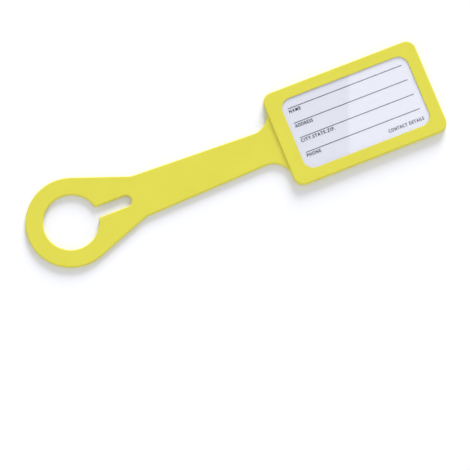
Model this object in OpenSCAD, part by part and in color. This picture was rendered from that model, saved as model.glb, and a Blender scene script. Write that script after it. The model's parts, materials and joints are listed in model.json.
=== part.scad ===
// Luggage tag moulded in silicone: a card pocket with a window, a tapered strap
// and a keyhole ring. A paper card and a clear film sit in the pocket.
//
// +X runs along the tag from the ring to the pocket, +Y across it, and +Z is the
// window side. The origin is under the middle of the tag, on its flat back.
// The strap is cut into links at evenly spaced bending lines. Each link ends in
// a round knuckle that turns in a round socket, so that the strap can curl.

/* [Pocket] */
// Length of the pocket along the tag
pocket_l = 82; // [79:1:120]
// Width of the pocket
pocket_w = 50; // [49:1:80]
// Thickness of the pocket
pocket_t = 3.2; // [3.1:0.1:6]
// Radius of the pocket's corners
pocket_r = 5; // [2:0.5:5]
// Thickness of the silicone behind the card
back_t = 2.2; // [0.8:0.1:2.3]

/* [Window] */
// Length of the window
window_l = 68; // [40:1:70]
// Width of the window
window_w = 38; // [20:0.2:40]
// Radius of the window's corners
window_r = 5.5; // [2:0.5:8]
// Distance from the pocket's outer end to the window
window_end = 6.5; // [5:0.1:7]
// Reach of the lip over the edges of the card
lip_reach = 2; // [1:0.1:3]

/* [Card and film] */
// Height of the recess that holds the card and the film
recess_h = 0.75; // [0.7:0.05:0.9]
// Radius of the recess's corners
recess_r = 4; // [1:0.5:6]
// Thickness of the paper card
card_t = 0.35; // [0.2:0.05:0.35]
// Thickness of the clear film
film_t = 0.2; // [0.1:0.05:0.25]
// Gap around the card and the film in the recess
card_gap = 0.3; // [0.1:0.1:0.6]

/* [Strap] */
// Distance from the ring's centre to the pocket
strap_span = 111.25; // [108:0.25:150]
// Thickness of the strap and the ring
strap_t = 2.2; // [1.4:0.1:2.6]
// Width of the strap where it leaves the neck
neck_w = 17.2; // [12:0.2:18]
// Radius of the fillets between the strap and the pocket
neck_r = 10; // [4:0.5:11]
// Width of the strap where it meets the ring's shoulders
shoulder_w = 21.9; // [16:0.1:30]
// Distance from the ring's centre to the corners of the shoulders
shoulder_s = 36; // [34:0.5:38]

/* [Keyhole ring] */
// Outer radius of the ring
ring_r = 22.75; // [20:0.25:28]
// Radius of the ring's hole
hole_r = 14; // [10:0.1:16]
// Width of the slot
slot_w = 5.8; // [4.2:0.1:8]
// Distance from the ring's centre to the end of the slot
slot_s = 32.05; // [24:0.05:33]
// Radius of the rounded corners at the slot's mouth
mouth_r = 1; // [0.5:0.1:2]

/* [Bending] */
// Number of bending lines across the strap
bends = 8; // [2:1:8]
// Distance between two bending lines
bend_pitch = 8.2; // [5:0.1:8.2]
// Distance from the pocket to the first bending line
bend_start = 14; // [13:0.5:14]
// Running clearance between a knuckle and its socket
knuckle_gap = 0.08; // [0.02:0.01:0.1]

/* [Hidden] */
links = bends - 1;
link_names = [for (i = [1:links]) str("strap_link_", i)];
$fn = 96;

silicone = [0.89, 0.87, 0.33];
paper = [0.90, 0.91, 0.96];
clear_film = [0.80, 0.88, 0.95, 0.35];

// Places along the tag
tag_l = ring_r + strap_span + pocket_l;
pocket_x = tag_l / 2 - pocket_l;
ring_x = pocket_x - strap_span;
shoulder_x = ring_x + shoulder_s;
fillet_x = pocket_x - neck_r;
window_x = tag_l / 2 - window_end - window_l / 2;

// Heights and sizes of the recess, the card and the film
lip_z = back_t + recess_h;
recess_l = window_l + 2 * lip_reach;
recess_w = window_w + 2 * lip_reach;
sheet_l = recess_l - 2 * card_gap;
sheet_w = recess_w - 2 * card_gap;
sheet_r = recess_r - card_gap;
air = 0.05;
card_z = back_t + air;
film_z = card_z + card_t + air;

// Knuckles and sockets on the strap's middle plane
knuckle_r = strap_t / 2;
socket_r = knuckle_r + knuckle_gap;

function bend_x(i) = pocket_x - bend_start - (i - 1) * bend_pitch;

// Half the strap's width at a place along the tag
function half_w(x) =
    let (along = (x - shoulder_x) / (fillet_x - shoulder_x))
    (shoulder_w + along * (neck_w - shoulder_w)) / 2;

// A rectangle about the origin with round corners
module round_rect(l, w, r) {
    square([l - 2 * r, w], center = true);
    square([l, w - 2 * r], center = true);
    for (sx = [-1, 1], sy = [-1, 1])
        translate([sx * (l / 2 - r), sy * (w / 2 - r)]) circle(r = r);
}

// The strap's outline in plan between two places along the tag
module strap_plan(x0, x1) {
    polygon([
        [x0, -half_w(x0)], [x1, -half_w(x1)],
        [x1, half_w(x1)], [x0, half_w(x0)]
    ]);
}

// The strap seen from the side between two places, as a slab across its width,
// with a socket sunk into its low end and a knuckle on its high end
module strap_side(x0, x1, socket, knuckle) {
    rotate([90, 0, 0])
        linear_extrude(height = 2 * pocket_w, center = true)
            difference() {
                union() {
                    translate([x0, 0]) square([x1 - x0, strap_t]);
                    if (knuckle) translate([x1, knuckle_r]) circle(r = knuckle_r);
                }
                if (socket) translate([x0, knuckle_r]) circle(r = socket_r);
            }
}

module pocket_back() {
    color(silicone)
        translate([pocket_x + pocket_l / 2, 0, 0])
            linear_extrude(height = back_t)
                round_rect(pocket_l, pocket_w, pocket_r);
}

module window_frame() {
    color(silicone)
        translate([0, 0, back_t])
            linear_extrude(height = pocket_t - back_t)
                difference() {
                    translate([pocket_x + pocket_l / 2, 0])
                        round_rect(pocket_l, pocket_w, pocket_r);
                    translate([window_x, 0])
                        round_rect(recess_l, recess_w, recess_r);
                }
}

// The thin rim that reaches in over the card and the film and holds them down
module window_lip() {
    color(silicone)
        translate([window_x, 0, lip_z])
            linear_extrude(height = pocket_t - lip_z)
                difference() {
                    round_rect(recess_l, recess_w, recess_r);
                    round_rect(window_l, window_w, window_r);
                }
}

// The neck widens from the strap into the pocket's edge with two hollow fillets
module neck() {
    color(silicone)
        intersection() {
            linear_extrude(height = strap_t) {
                strap_plan(bend_x(1), fillet_x);
                difference() {
                    translate([fillet_x, -neck_w / 2 - neck_r])
                        square([neck_r, neck_w + 2 * neck_r]);
                    for (side = [-1, 1])
                        translate([fillet_x, side * (neck_w / 2 + neck_r)])
                            circle(r = neck_r);
                }
            }
            strap_side(bend_x(1), pocket_x, socket = true, knuckle = false);
        }
}

// Link i hangs on bending line i and carries the socket of the next one
module strap_link(i) {
    color(silicone)
        intersection() {
            linear_extrude(height = strap_t)
                strap_plan(bend_x(i + 1), bend_x(i) + knuckle_r);
            strap_side(bend_x(i + 1), bend_x(i), socket = true, knuckle = true);
        }
}

// The keyhole: a round hole, a slot with a round end, and rounded corners
// where the slot opens into the hole. Its origin is the hole's centre.
module keyhole() {
    half_slot = slot_w / 2;
    mouth_y = half_slot + mouth_r;
    mouth_x = sqrt(pow(hole_r + mouth_r, 2) - pow(mouth_y, 2));
    to_hole = hole_r / (hole_r + mouth_r);
    corner_x = sqrt(pow(hole_r, 2) - pow(half_slot, 2));

    circle(r = hole_r);
    translate([0, -half_slot]) square([slot_s - half_slot, slot_w]);
    translate([slot_s - half_slot, 0]) circle(r = half_slot);
    for (side = [-1, 1])
        difference() {
            polygon([
                [corner_x - mouth_r, 0], [mouth_x, 0], [mouth_x, side * half_slot],
                [mouth_x, side * mouth_y], [mouth_x * to_hole, side * mouth_y * to_hole]
            ]);
            translate([mouth_x, side * mouth_y]) circle(r = mouth_r);
        }
}

// The ring with the shoulders that run into the strap. The shoulders' sides
// are the tangents from the strap's corners to the ring.
module keyhole_ring() {
    corner = [shoulder_s, shoulder_w / 2];
    touch_angle = atan2(corner[1], corner[0]) + acos(ring_r / norm(corner));
    touch = ring_r * [cos(touch_angle), sin(touch_angle)];
    last_bend = bend_x(bends);

    color(silicone)
        intersection() {
            linear_extrude(height = strap_t) {
                translate([ring_x, 0])
                    difference() {
                        union() {
                            circle(r = ring_r);
                            polygon([
                                [touch[0], -touch[1]], [corner[0], -corner[1]],
                                corner, touch
                            ]);
                        }
                        keyhole();
                    }
                strap_plan(shoulder_x, last_bend + knuckle_r);
            }
            strap_side(-tag_l, last_bend, socket = false, knuckle = true);
        }
}

module id_card() {
    color(paper)
        translate([window_x, 0, card_z])
            linear_extrude(height = card_t)
                round_rect(sheet_l, sheet_w, sheet_r);
}

module window_film() {
    color(clear_film)
        translate([window_x, 0, film_z])
            linear_extrude(height = film_t)
                round_rect(sheet_l, sheet_w, sheet_r);
}

pocket_back();
window_frame();
window_lip();
neck();
for (i = [1:links])
    strap_link(i);
keyhole_ring();
id_card();
window_film();
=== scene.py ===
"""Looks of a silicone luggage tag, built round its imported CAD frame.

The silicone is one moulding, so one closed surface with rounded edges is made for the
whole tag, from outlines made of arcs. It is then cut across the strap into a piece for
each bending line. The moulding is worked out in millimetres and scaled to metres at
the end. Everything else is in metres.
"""

import json
import math

import bmesh
import bpy
import numpy as np
from mathutils import Matrix, Vector
from mathutils.geometry import delaunay_2d_cdt

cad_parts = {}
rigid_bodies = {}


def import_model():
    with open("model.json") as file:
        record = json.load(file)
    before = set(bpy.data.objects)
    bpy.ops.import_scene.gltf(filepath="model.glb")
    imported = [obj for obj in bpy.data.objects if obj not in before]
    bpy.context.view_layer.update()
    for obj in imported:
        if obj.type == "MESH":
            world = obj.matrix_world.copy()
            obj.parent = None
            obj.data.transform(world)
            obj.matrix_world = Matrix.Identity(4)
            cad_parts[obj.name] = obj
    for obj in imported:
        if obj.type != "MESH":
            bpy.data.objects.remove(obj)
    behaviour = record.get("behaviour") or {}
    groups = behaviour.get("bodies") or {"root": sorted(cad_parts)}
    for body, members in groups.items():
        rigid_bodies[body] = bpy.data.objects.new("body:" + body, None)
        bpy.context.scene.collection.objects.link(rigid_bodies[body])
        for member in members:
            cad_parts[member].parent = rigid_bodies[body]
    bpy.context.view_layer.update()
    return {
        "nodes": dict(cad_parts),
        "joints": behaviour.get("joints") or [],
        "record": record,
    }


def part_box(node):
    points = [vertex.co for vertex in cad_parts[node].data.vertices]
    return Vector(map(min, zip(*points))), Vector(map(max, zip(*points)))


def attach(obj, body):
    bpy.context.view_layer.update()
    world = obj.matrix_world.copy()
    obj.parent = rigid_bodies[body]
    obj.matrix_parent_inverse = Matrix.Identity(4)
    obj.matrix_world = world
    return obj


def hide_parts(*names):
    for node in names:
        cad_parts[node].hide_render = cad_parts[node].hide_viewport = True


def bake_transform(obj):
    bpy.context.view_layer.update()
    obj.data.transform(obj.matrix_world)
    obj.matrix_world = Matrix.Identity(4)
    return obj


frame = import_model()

MM = 0.001


# ---------------------------------------------------------------- sizes

def box_mm(node):
    low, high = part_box(node)
    return low / MM, high / MM


# Millimetres, read from the frame
pocket_low, pocket_high = box_mm("pocket_back")
recess_low, recess_high = box_mm("window_lip")
first_link, last_link = box_mm("strap_link_1"), box_mm("strap_link_7")
mounts = {m["name"]: m for m in frame["record"]["mounts"]}
card_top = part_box("id_card")[1].z
hinges = [j for j in frame["joints"] if j["type"] == "hinge"]
HINGE_X = [j["pos_m"][0] / MM for j in hinges]
HINGE_PITCH = HINGE_X[0] - HINGE_X[1]
POCKET_TOP = box_mm("window_frame")[1].z
FLOOR_Z = pocket_high.z
LIP_Z = recess_low.z
STRAP_TOP = first_link[1].z
RING_X = mounts["ring_hole"]["pos_m"][0] / MM
HOLE_R = mounts["ring_hole"]["dims"]["r_mm"]
RING_R = RING_X - box_mm("keyhole_ring")[0].x
WINDOW_X = (recess_low.x + recess_high.x) / 2
RECESS_L = recess_high.x - recess_low.x
RECESS_W = recess_high.y - recess_low.y
TAPER = (first_link[1].y - last_link[1].y) / (first_link[0].x - last_link[0].x)

# Millimetres, as in the CAD but not in any node's box
LIP_REACH = 2
WINDOW_R = 5.5
RECESS_R = 4
POCKET_R = 5
NECK_R = 10
SHOULDER_S = 36
SLOT_HALF = 2.9
SLOT_S = 32.05
MOUTH_R = 1
WINDOW_L = RECESS_L - 2 * LIP_REACH
WINDOW_W = RECESS_W - 2 * LIP_REACH

# Millimetres: the roundings that only the visible moulding has
EDGE_R = 0.55
POCKET_EDGE_R = 0.5
LIP_EDGE_R = 0.22
CREASE_RUN = 1.7
CREASE_RISE = 0.47
SHOULDER_R = 5

# Steps round a rounded edge, degrees in each step of an outline's arc, and the fewest
# steps that such an arc has
EDGE_STEPS = 6
ARC_STEP = 2
MIN_ARC_STEPS = 6

# Millimetres: the strap's pieces. The outermost seams lie this far beyond the first and
# last hinges. Cuts across the strap are at most a slice apart, and one lies a seam slice
# from each seam. Each piece has a tongue that runs in under the next one, so that no gap
# opens on the outside of the curl.
BLEND_REACH = 1.3656 * HINGE_PITCH
SLICE = 0.41
SEAM_SLICE = 0.08
TONGUE_INSET = 0.02
TONGUE_LENGTH = 0.3

# Edges that turn more than this stay sharp, and places closer than this, in millimetres,
# are taken as one
SHARP_ANGLE = math.radians(40)
TINY = 1e-4


# ---------------------------------------------------------------- outlines
# An outline is (points, normals into the silicone). All outlines run clockwise.

def arc(centre, radius, start, end, hollow=False):
    """An arc between two angles in degrees. Hollow if the silicone is outside it."""
    count = max(MIN_ARC_STEPS, math.ceil(abs(end - start) / ARC_STEP))
    a = np.radians(np.linspace(start, end, count + 1))
    out = np.stack([np.cos(a), np.sin(a)], 1)
    return np.asarray(centre) + radius * out, out if hollow else -out


def joined(*outlines):
    return tuple(np.concatenate(arrays) for arrays in zip(*outlines))


def mirrored(outline):
    """The outline's mirror image across the tag, run backwards."""
    return tuple(array[::-1] * (1, -1) for array in outline)


def part_of(outline, start, end):
    return tuple(array[start:end] for array in outline)


def round_rect(length, width, radius):
    """The rim of a round-cornered opening at the window's middle."""
    corners = []
    for sx, sy, start in ((-1, 1, 180), (1, 1, 90), (1, -1, 0), (-1, -1, -90)):
        centre = (WINDOW_X + sx * (length / 2 - radius), sy * (width / 2 - radius))
        corners.append(arc(centre, radius, start, start - 90, hollow=True))
    return joined(*corners)


def strap_half_width(x):
    return first_link[1].y + TAPER * (x - first_link[0].x)


def strap_outline():
    """The ring, its shoulders, the strap's sides and the fillets into the pocket."""
    strap_heading = math.degrees(math.atan(TAPER))
    corner = np.array([SHOULDER_S, strap_half_width(RING_X + SHOULDER_S)])
    reach = math.acos(RING_R / np.linalg.norm(corner))
    touch = math.degrees(math.atan2(corner[1], corner[0]) + reach)
    ring = arc((RING_X, 0), RING_R, 180, touch)

    heading = touch - 90
    direction = np.array([math.cos(math.radians(heading)), math.sin(math.radians(heading))])
    half_turn = math.radians(strap_heading - heading) / 2
    start = corner + (RING_X, 0) - direction * SHOULDER_R * math.tan(half_turn)
    centre = start + SHOULDER_R * np.array([-direction[1], direction[0]])
    shoulder = arc(centre, SHOULDER_R, heading - 90, strap_heading - 90, hollow=True)

    neck_x = pocket_low.x - NECK_R
    neck_y = strap_half_width(neck_x) + NECK_R * math.hypot(1, TAPER)
    neck = arc((neck_x, neck_y), NECK_R, strap_heading - 90, 0, hollow=True)

    upper = joined(ring, shoulder, neck)
    return joined(mirrored(part_of(upper, 1, None)), upper)


def pocket_outline():
    """The pocket's four corners, clockwise from the upper one beside the strap."""
    high = pocket_high.y - POCKET_R
    left, right = pocket_low.x + POCKET_R, pocket_high.x - POCKET_R
    return joined(
        arc((left, high), POCKET_R, 180, 90),
        arc((right, high), POCKET_R, 90, 0),
        arc((right, -high), POCKET_R, 0, -90),
        arc((left, -high), POCKET_R, -90, -180),
    )


def keyhole_outline():
    """The round hole and the slot, with a rounded corner where they meet."""
    mouth_y = SLOT_HALF + MOUTH_R
    mouth_x = math.sqrt((HOLE_R + MOUTH_R) ** 2 - mouth_y**2)
    mouth = math.degrees(math.atan2(mouth_y, mouth_x))
    upper = joined(
        arc((RING_X, 0), HOLE_R, 180, mouth, hollow=True),
        part_of(arc((RING_X + mouth_x, mouth_y), MOUTH_R, mouth - 180, -90), 1, None),
        arc((RING_X + SLOT_S - SLOT_HALF, 0), SLOT_HALF, 90, 0, hollow=True),
    )
    return joined(upper, mirrored(part_of(upper, 1, -1)))


# ---------------------------------------------------------------- edge profiles
# A profile is a list of rows, each (inset from the outline, height).

STEPS = [math.radians(90 * i / EDGE_STEPS) for i in range(EDGE_STEPS + 1)]


def lower_edge(radius):
    """From the flat underside, outwards and up to the wall."""
    return [(radius * (1 - math.sin(a)), radius * (1 - math.cos(a))) for a in STEPS]


def upper_edge(radius, top):
    """From the wall, up and inwards to the flat top."""
    return [(radius * (1 - math.cos(a)), top - radius * (1 - math.sin(a))) for a in STEPS]


# ---------------------------------------------------------------- mesh building

def add_rows(bm, outline, profile, closed=True, below=None):
    """Rows of vertices that follow a profile, joined by quads. Returns the rows."""
    points, normals = outline
    made = [below] if below else []
    for inset, z in profile:
        made.append([bm.verts.new((x, y, z)) for x, y in points + normals * inset])
    for first, second in zip(made, made[1:]):
        bridge(bm, first, second, closed)
    return made


def bridge(bm, first, second, closed=True):
    for i in range(len(first) if closed else len(first) - 1):
        j = (i + 1) % len(first)
        bm.faces.new((first[i], first[j], second[j], second[i]))


def fill(bm, *loops):
    """Flat triangles inside the first loop and round the others."""
    verts = [v for loop in loops for v in loop]
    numbers = iter(range(len(verts)))
    regions = [[next(numbers) for _ in loop] for loop in loops]
    inside_regions = 2
    result = delaunay_2d_cdt([v.co.xy for v in verts], [], regions, inside_regions, TINY)
    triangles, sources = result[2], result[3]
    for corners in triangles:
        bm.faces.new([verts[sources[i][0]] for i in corners])


def cut(bm, faces, x, drop_beyond=False):
    """Cuts the faces along a plane across the tag. Returns what is left of them."""
    # Each element once, in an order that is the same every run
    geom = dict.fromkeys(g for f in faces for g in (f, *f.edges, *f.verts))
    result = bmesh.ops.bisect_plane(
        bm, geom=list(geom), dist=TINY, plane_co=(x, 0, 0), plane_no=(1, 0, 0),
        clear_outer=drop_beyond,
    )
    return [g for g in result["geom"] if isinstance(g, bmesh.types.BMFace)]


def slice_across(bm, faces, places):
    """Cuts the faces at every place, working from the middle of the list outwards."""
    if not places or not faces:
        return
    middle = len(places) // 2
    found = cut(bm, faces, places[middle])
    low = [f for f in found if f.calc_center_median().x < places[middle]]
    high = [f for f in found if f.calc_center_median().x >= places[middle]]
    slice_across(bm, low, places[:middle])
    slice_across(bm, high, places[middle + 1 :])


def raise_crease(bm, neck_y):
    """Turns the neck's top up into the pocket's side with a hollow rounding."""
    wall = pocket_low.x
    places = sorted(wall - CREASE_RUN * (1 - math.sin(a)) for a in STEPS[:-1])
    slice_across(bm, list(bm.faces), places)
    for v in bm.verts:
        away = max(wall - v.co.x, 0) / CREASE_RUN
        on_top = v.co.z > STRAP_TOP - EDGE_R - TINY and abs(v.co.y) < neck_y + TINY
        if on_top and wall - v.co.x > -TINY and away < 1:
            v.co.z += CREASE_RISE * (1 - math.sqrt(1 - (1 - away) ** 2))


def build_moulding():
    """The whole silicone moulding as one closed surface."""
    bm = bmesh.new()
    strap, pocket, keyhole = strap_outline(), pocket_outline(), keyhole_outline()
    neck_y = strap[0][-1][1]
    strap_count = len(strap[0])

    # The side all round, up to the strap's upper edge, and the flat underside
    wall = lower_edge(EDGE_R) + [(0, STRAP_TOP - EDGE_R)]
    side = add_rows(bm, joined(strap, pocket), wall)
    hole = add_rows(bm, keyhole, lower_edge(EDGE_R) + upper_edge(EDGE_R, STRAP_TOP))
    fill(bm, side[0], hole[0])

    # The strap's top, which ends in a crease against the pocket
    rim = upper_edge(EDGE_R, STRAP_TOP)[1:]
    existing = set(bm.faces)
    strap_rows = add_rows(bm, strap, rim, closed=False, below=side[-1][:strap_count])
    fill(bm, strap_rows[-1], hole[-1])
    cut(bm, [f for f in bm.faces if f not in existing], pocket_low.x, drop_beyond=True)
    raise_crease(bm, neck_y)
    crease = {
        v for e in bm.edges if e.is_boundary for v in e.verts
        if abs(v.co.x - pocket_low.x) < TINY and abs(v.co.y) < neck_y + TINY
    }
    crease = sorted(crease, key=lambda v: v.co.y)
    crease_line = np.array([(pocket_low.x, v.co.y) for v in crease])
    crease_normals = np.tile((1.0, 0.0), (len(crease), 1))

    # The pocket above the strap, the lip round the window and the recess under it
    upper = add_rows(
        bm, joined(pocket, (crease_line, crease_normals)),
        upper_edge(POCKET_EDGE_R, POCKET_TOP), below=side[-1][strap_count:] + crease,
    )
    window = round_rect(WINDOW_L, WINDOW_W, WINDOW_R)
    lip = add_rows(bm, window, [(0, LIP_Z)] + upper_edge(LIP_EDGE_R, POCKET_TOP))
    fill(bm, upper[-1], lip[-1])
    recess = round_rect(RECESS_L, RECESS_W, RECESS_R)
    walls = add_rows(bm, recess, [(0, FLOOR_Z), (0, LIP_Z)])
    bridge(bm, walls[-1], lip[0])
    fill(bm, walls[0])

    bmesh.ops.recalc_face_normals(bm, faces=list(bm.faces))
    return bm


def seam_places():
    """Where the moulding is cut into pieces, from the pocket to the ring."""
    middles = [(a + b) / 2 for a, b in zip(HINGE_X, HINGE_X[1:])]
    return [HINGE_X[0] + BLEND_REACH, *middles, HINGE_X[-1] - BLEND_REACH]


def slice_places(seams):
    """Close cuts across the strap, closest beside the seams."""
    places = list(seams)
    for high, low in zip(seams, seams[1:]):
        count = math.ceil((high - low) / SLICE)
        places += list(np.linspace(low, high, count + 1)[1:-1])
        places += [low + SEAM_SLICE, high - SEAM_SLICE]
    return sorted(places)


def close_end(bm, x, tongue):
    """Caps the open end at x, or runs it on into a slightly smaller tongue."""
    rim = [e for e in bm.edges if e.is_boundary and all(abs(v.co.x - x) < TINY for v in e.verts)]
    caps = bmesh.ops.holes_fill(bm, edges=rim)["faces"]
    if tongue:
        bmesh.ops.inset_region(bm, faces=caps, thickness=TONGUE_INSET, use_even_offset=True)
        ends = list({v for f in caps for v in f.verts})
        bmesh.ops.translate(bm, verts=ends, vec=(-TONGUE_LENGTH, 0, 0))
    return rim


def moulding_piece(whole, name, low, high, tongue):
    """The part of the moulding between two places along the tag, as an object."""
    bm = whole.copy()
    outside = [f for f in bm.faces if not low < f.calc_center_median().x < high]
    bmesh.ops.delete(bm, geom=outside, context="FACES")
    rims = []
    if low > -math.inf:
        rims += close_end(bm, low, tongue)
    if high < math.inf:
        rims += close_end(bm, high, tongue=False)
    bmesh.ops.recalc_face_normals(bm, faces=list(bm.faces))
    for face in bm.faces:
        face.smooth = True
    for edge in bm.edges:
        if edge.calc_face_angle(0) > SHARP_ANGLE:
            edge.smooth = False
    for edge in rims:
        edge.smooth = False
    bmesh.ops.scale(bm, vec=(MM, MM, MM), verts=list(bm.verts))
    return finished_object(name, bm, silicone)


def finished_object(name, bm, material):
    mesh = bpy.data.meshes.new(name)
    bm.to_mesh(mesh)
    bm.free()
    mesh.materials.append(material)
    obj = bpy.data.objects.new(name, mesh)
    bpy.context.scene.collection.objects.link(obj)
    normals = obj.modifiers.new("even_normals", "WEIGHTED_NORMAL")
    normals.keep_sharp = True
    return obj


def make_moulding():
    whole = build_moulding()
    seams = seam_places()
    slice_across(whole, list(whole.faces), slice_places(seams))

    pocket = moulding_piece(whole, "pocket_moulding", seams[0], math.inf, tongue=False)
    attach(pocket, "pocket")
    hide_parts("pocket_back", "window_frame", "window_lip", "neck")

    members = frame["record"]["behaviour"]["bodies"]
    for number, joint in enumerate(hinges, 1):
        high, low = seams[number - 1], seams[number]
        tongue = number < len(hinges)
        name = f"strap_bend_{number}"
        bend = moulding_piece(whole, name, low, high, tongue)
        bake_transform(bend)
        near = "neck" if number == 1 else members[joint["parent"]][0]
        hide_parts(near, members[joint["child"]][0])

    ring = moulding_piece(whole, "keyhole_ring_moulding", -math.inf, seams[-1], tongue=False)
    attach(ring, "ring")
    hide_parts("keyhole_ring")
    whole.free()


# ---------------------------------------------------------------- materials

# The film's refractive index
FILM_INDEX = 1.5


class Nodes:
    """A small helper that adds nodes to a material and links them."""

    def __init__(self, name):
        self.material = bpy.data.materials.new(name)
        self.material.use_nodes = True
        self.tree = self.material.node_tree
        self.shader = self.tree.nodes["Principled BSDF"]
        self.coordinates = self.add("ShaderNodeTexCoord").outputs["Object"]

    def add(self, kind, inputs=None, **settings):
        node = self.tree.nodes.new(kind)
        for key, value in settings.items():
            setattr(node, key, value)
        for key, value in (inputs or {}).items():
            if isinstance(value, bpy.types.NodeSocket):
                self.tree.links.new(value, node.inputs[key])
            else:
                node.inputs[key].default_value = value
        return node

    def noise(self, size, detail=3.0, roughness=0.5):
        """Noise whose features are about as large as size, in metres."""
        inputs = {
            "Vector": self.coordinates, "Scale": 1 / size, "Detail": detail,
            "Roughness": roughness,
        }
        return self.add("ShaderNodeTexNoise", inputs).outputs["Fac"]

    def spread(self, value, low, high, from_low=0.3, from_high=0.7):
        """Spreads a value over a range. Noise lies mostly between 0.3 and 0.7."""
        inputs = {
            "Value": value, "From Min": from_low, "From Max": from_high, "To Min": low,
            "To Max": high,
        }
        return self.add("ShaderNodeMapRange", inputs).outputs["Result"]

    def mix(self, factor, first, second):
        """A colour between two others."""
        node = self.add("ShaderNodeMix", data_type="RGBA")
        self.link(factor, node.inputs["Factor"])
        colours = [s for s in node.inputs if s.type == "RGBA"]
        for socket, value in zip(colours, (first, second)):
            self.link(value, socket)
        return next(s for s in node.outputs if s.type == "RGBA")

    def link(self, value, socket):
        if isinstance(value, bpy.types.NodeSocket):
            self.tree.links.new(value, socket)
        else:
            socket.default_value = value

    def bump(self, height, depth, under=None):
        """Relief of a depth in metres, laid over the bump under it if there is one."""
        inputs = {"Height": height, "Distance": depth, "Strength": 1}
        if under:
            inputs["Normal"] = under
        return self.add("ShaderNodeBump", inputs).outputs["Normal"]

    def set(self, **values):
        """Sets the shader's sockets. Underscores stand for spaces."""
        for key, value in values.items():
            self.link(value, self.shader.inputs[key.replace("_", " ")])


def linear(red, green, blue):
    """A screen colour, 0 to 255, as the linear colour that shaders take."""
    return tuple(
        c / 12.92 if c <= 0.04045 else ((c + 0.055) / 1.055) ** 2.4
        for c in (red / 255, green / 255, blue / 255)
    ) + (1.0,)


def make_silicone():
    """Soft yellow silicone: matt, slightly cloudy, with the mould's fine grain."""
    n = Nodes("yellow_silicone")
    cloud = n.spread(n.noise(18 * MM, detail=2), 0, 1)
    n.set(
        Base_Color=n.mix(cloud, linear(204, 198, 69), linear(207, 201, 72)),
        Roughness=n.spread(n.noise(6 * MM), 0.6, 0.68),
        Specular_IOR_Level=0.35,
        Sheen_Weight=0.08,
        Sheen_Roughness=0.4,
        Normal=n.bump(
            n.noise(0.4 * MM, detail=2), 0.03 * MM,
            under=n.bump(n.noise(4 * MM), 0.02 * MM),
        ),
    )
    n.shader.inputs["Sheen Tint"].default_value = linear(255, 250, 190)
    return n.material


def make_paper():
    """Smooth bluish-white card with faint fibres."""
    n = Nodes("card_paper")
    fibres = n.spread(n.noise(0.7 * MM, detail=6, roughness=0.7), 0, 1)
    n.set(
        Base_Color=n.mix(fibres, linear(224, 226, 238), linear(227, 229, 241)),
        Roughness=n.spread(n.noise(2 * MM), 0.75, 0.9),
        Specular_IOR_Level=0.3,
        Normal=n.bump(n.noise(0.35 * MM, detail=4), 0.01 * MM),
    )
    return n.material


def make_ink():
    """Thin dark print with slightly uneven cover."""
    n = Nodes("print_ink")
    cover = n.spread(n.noise(0.5 * MM, detail=4), 0, 1)
    n.set(
        Base_Color=n.mix(cover, linear(10, 14, 66), linear(18, 23, 78)),
        Roughness=n.spread(n.noise(1 * MM), 0.5, 0.65),
        Normal=n.bump(n.noise(0.3 * MM), 0.005 * MM),
    )
    return n.material


def make_film():
    """Clear plastic film: it lets light through and mirrors a little of it."""
    n = Nodes("clear_film")
    ripple = n.bump(n.noise(30 * MM, detail=1), 0.008 * MM)
    roughness = n.spread(n.noise(4 * MM), 0.015, 0.03)
    glossy = n.add("ShaderNodeBsdfAnisotropic", {"Roughness": roughness, "Normal": ripple})
    clear = n.add("ShaderNodeBsdfTransparent")
    back = n.add("ShaderNodeNewGeometry").outputs["Backfacing"]
    index = n.spread(back, FILM_INDEX, 1 / FILM_INDEX, 0, 1)
    fresnel = n.add("ShaderNodeFresnel", {"IOR": index})
    mixed = n.add("ShaderNodeMixShader", {"Fac": fresnel.outputs[0]})
    n.tree.links.new(clear.outputs[0], mixed.inputs[1])
    n.tree.links.new(glossy.outputs[0], mixed.inputs[2])
    n.tree.links.new(mixed.outputs[0], n.tree.nodes["Material Output"].inputs["Surface"])
    n.tree.nodes.remove(n.shader)
    return n.material


def make_floor():
    n = Nodes("studio_floor")
    n.set(
        Base_Color=n.mix(n.noise(50 * MM), (0.82, 0.825, 0.868, 1), (0.828, 0.833, 0.876, 1)),
        Roughness=0.9,
        Specular_IOR_Level=0.1,
    )
    return n.material


# ---------------------------------------------------------------- card, film and print

# The ruled lines. The first lies this far under the window's upper edge, and all of them
# keep these distances from its left and right edges.
PRINT_THICK = 0.014 * MM
LINE_WIDTH = 0.4 * MM
LINE_COUNT = 4
LINE_PITCH = 8.03 * MM
FIRST_LINE = 4.95 * MM
LINE_START = 2.9 * MM
LINE_STOP = 3.5 * MM

# Words and their width in millimetres. A label hangs this far under its line, and the
# note stands this far above the window's lower edge.
LABELS = (("NAME", 6.0), ("ADDRESS", 9.4), ("CITY.STATE.ZIP.", 18.2), ("PHONE", 7.4))
NOTE = ("CONTACT DETAILS", 19.0)
LABEL_DROP = 0.75 * MM
NOTE_RISE = 2.9 * MM

# Lettering. A capital's share is its height as a share of the font's size.
CAP_HEIGHT = 1.75 * MM
CAP_SHARE = 0.73
LETTER_SPACING = 1.3
BOLDER = 0.03 * MM

# Each word is struck three times to make it bold, at these places in millimetres across
# and up the card. Each strike lies a little more than its own thickness above the last.
STRIKES = ((0, 0), (0.14, 0), (0.07, 0.08))
STRIKE_RISE = 1.1 * PRINT_THICK


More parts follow.
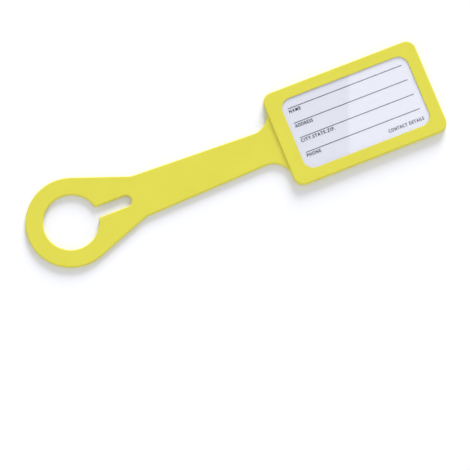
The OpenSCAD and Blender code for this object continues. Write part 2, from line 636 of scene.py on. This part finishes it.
def print_lettering(bm, words, width, x, y):
    """Adds words printed on the card, fitted to a width in millimetres."""
    curve = bpy.data.curves.new(words, "FONT")
    curve.body = words
    curve.size = CAP_HEIGHT / CAP_SHARE
    curve.resolution_u = 4
    curve.space_character = LETTER_SPACING
    curve.offset = BOLDER
    curve.extrude = PRINT_THICK / 2
    text = bpy.data.objects.new(words, curve)
    bpy.context.scene.collection.objects.link(text)
    bpy.context.view_layer.update()
    mesh = bpy.data.meshes.new_from_object(text)
    along = [v.co.x for v in mesh.vertices]
    bpy.data.objects.remove(text)
    fitted = width * MM / (max(along) - min(along))
    mesh.transform(Matrix.Diagonal((fitted, 1, 1, 1)))
    left = x - min(along) * fitted
    for number, (across, up) in enumerate(STRIKES):
        z = card_top + PRINT_THICK / 2 + number * STRIKE_RISE
        strike = mesh.copy()
        strike.transform(Matrix.Translation((left + across * MM, y + up * MM, z)))
        bm.from_mesh(strike)


def make_print():
    left = (WINDOW_X - WINDOW_L / 2) * MM + LINE_START
    right = (WINDOW_X + WINDOW_L / 2) * MM - LINE_STOP
    top = WINDOW_W / 2 * MM
    bm = bmesh.new()
    for i in range(LINE_COUNT):
        y = top - FIRST_LINE - i * LINE_PITCH
        centre = ((left + right) / 2, y, card_top + PRINT_THICK / 2)
        size = (right - left, LINE_WIDTH, PRINT_THICK)
        matrix = Matrix.Translation(centre) @ Matrix.Diagonal((*size, 1))
        bmesh.ops.create_cube(bm, size=1, matrix=matrix)
    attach(finished_object("printed_lines", bm, ink), "card")

    bm = bmesh.new()
    for i, (words, width) in enumerate(LABELS):
        y = top - FIRST_LINE - i * LINE_PITCH - LABEL_DROP - CAP_HEIGHT
        print_lettering(bm, words, width, left, y)
    words, width = NOTE
    print_lettering(bm, words, width, right - width * MM, NOTE_RISE - top)
    bmesh.ops.remove_doubles(bm, verts=list(bm.verts), dist=TINY * MM)
    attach(finished_object("printed_labels", bm, ink), "card")


def dress_sheets():
    for node, material in (("id_card", paper), ("window_film", film)):
        mesh = frame["nodes"][node].data
        mesh.materials.clear()
        mesh.materials.append(material)


# ---------------------------------------------------------------- studio

# The camera, in degrees and metres, and for the lens millimetres. Azimuth 0 looks along
# +Y.
AZIMUTH = -21.57
ELEVATION = 79
LENS = 180
LOOK_AT = Vector((-0.01173, -0.03562, 0))
DISTANCE = 1.169

# Each sun's name, azimuth from +X towards +Y, elevation and width in degrees, and strength
SUNS = (("key", 57, 18, 32, 4.8), ("low_fill", 243, 12, 24, 1.1))
WORLD_STRENGTH = 0.69

# The panel's place and size in metres, and its power in watts
PANEL_PLACE = (0.285, 0.18, 1)
PANEL_SIZE = (0.18, 0.4)
PANEL_POWER = 0.27

# Half the floor's width
FLOOR_HALF = 4


def make_camera():
    a, e = math.radians(AZIMUTH), math.radians(ELEVATION)
    back = Vector((math.sin(a) * math.cos(e), -math.cos(a) * math.cos(e), math.sin(e)))
    camera = bpy.data.objects.new("camera", bpy.data.cameras.new("camera"))
    camera.data.lens = LENS
    camera.data.sensor_width = 36
    camera.location = LOOK_AT + back * DISTANCE
    camera.rotation_mode = "QUATERNION"
    camera.rotation_quaternion = back.to_track_quat("Z", "Y")
    bpy.context.scene.collection.objects.link(camera)
    bpy.context.scene.camera = camera


def add_sun(name, azimuth, elevation, width, strength):
    """A wide soft source far away, which lights the whole tag alike without glare."""
    a, e = math.radians(azimuth), math.radians(elevation)
    towards = Vector((math.cos(a) * math.cos(e), math.sin(a) * math.cos(e), math.sin(e)))
    data = bpy.data.lights.new(name, "SUN")
    data.energy = strength
    data.angle = math.radians(width)
    light = bpy.data.objects.new(name, data)
    light.rotation_mode = "QUATERNION"
    light.rotation_quaternion = towards.to_track_quat("Z", "Y")
    light.visible_glossy = False
    bpy.context.scene.collection.objects.link(light)


def add_ceiling_panel():
    """A panel overhead that mirrors in the outer half of the film, turned like the camera."""
    data = bpy.data.lights.new("ceiling_panel", "AREA")
    data.shape = "RECTANGLE"
    data.size, data.size_y = PANEL_SIZE
    data.energy = PANEL_POWER
    light = bpy.data.objects.new("ceiling_panel", data)
    light.location = PANEL_PLACE
    light.rotation_euler = (0, 0, math.radians(AZIMUTH))
    light.visible_camera = False
    bpy.context.scene.collection.objects.link(light)


def make_studio():
    bm = bmesh.new()
    bmesh.ops.create_grid(bm, x_segments=8, y_segments=8, size=FLOOR_HALF)
    mesh = bpy.data.meshes.new("floor")
    bm.to_mesh(mesh)
    bm.free()
    mesh.materials.append(make_floor())
    floor = bpy.data.objects.new("floor", mesh)
    bpy.context.scene.collection.objects.link(floor)

    world = bpy.data.worlds.new("studio")
    world.use_nodes = True
    world.node_tree.nodes["Background"].inputs["Color"].default_value = (1, 1, 1, 1)
    world.node_tree.nodes["Background"].inputs["Strength"].default_value = WORLD_STRENGTH
    bpy.context.scene.world = world
    bpy.context.scene.view_settings.view_transform = "Standard"
    for sun in SUNS:
        add_sun(*sun)
    add_ceiling_panel()


silicone = make_silicone()
paper = make_paper()
ink = make_ink()
film = make_film()

make_moulding()
dress_sheets()
make_print()
make_studio()
make_camera()
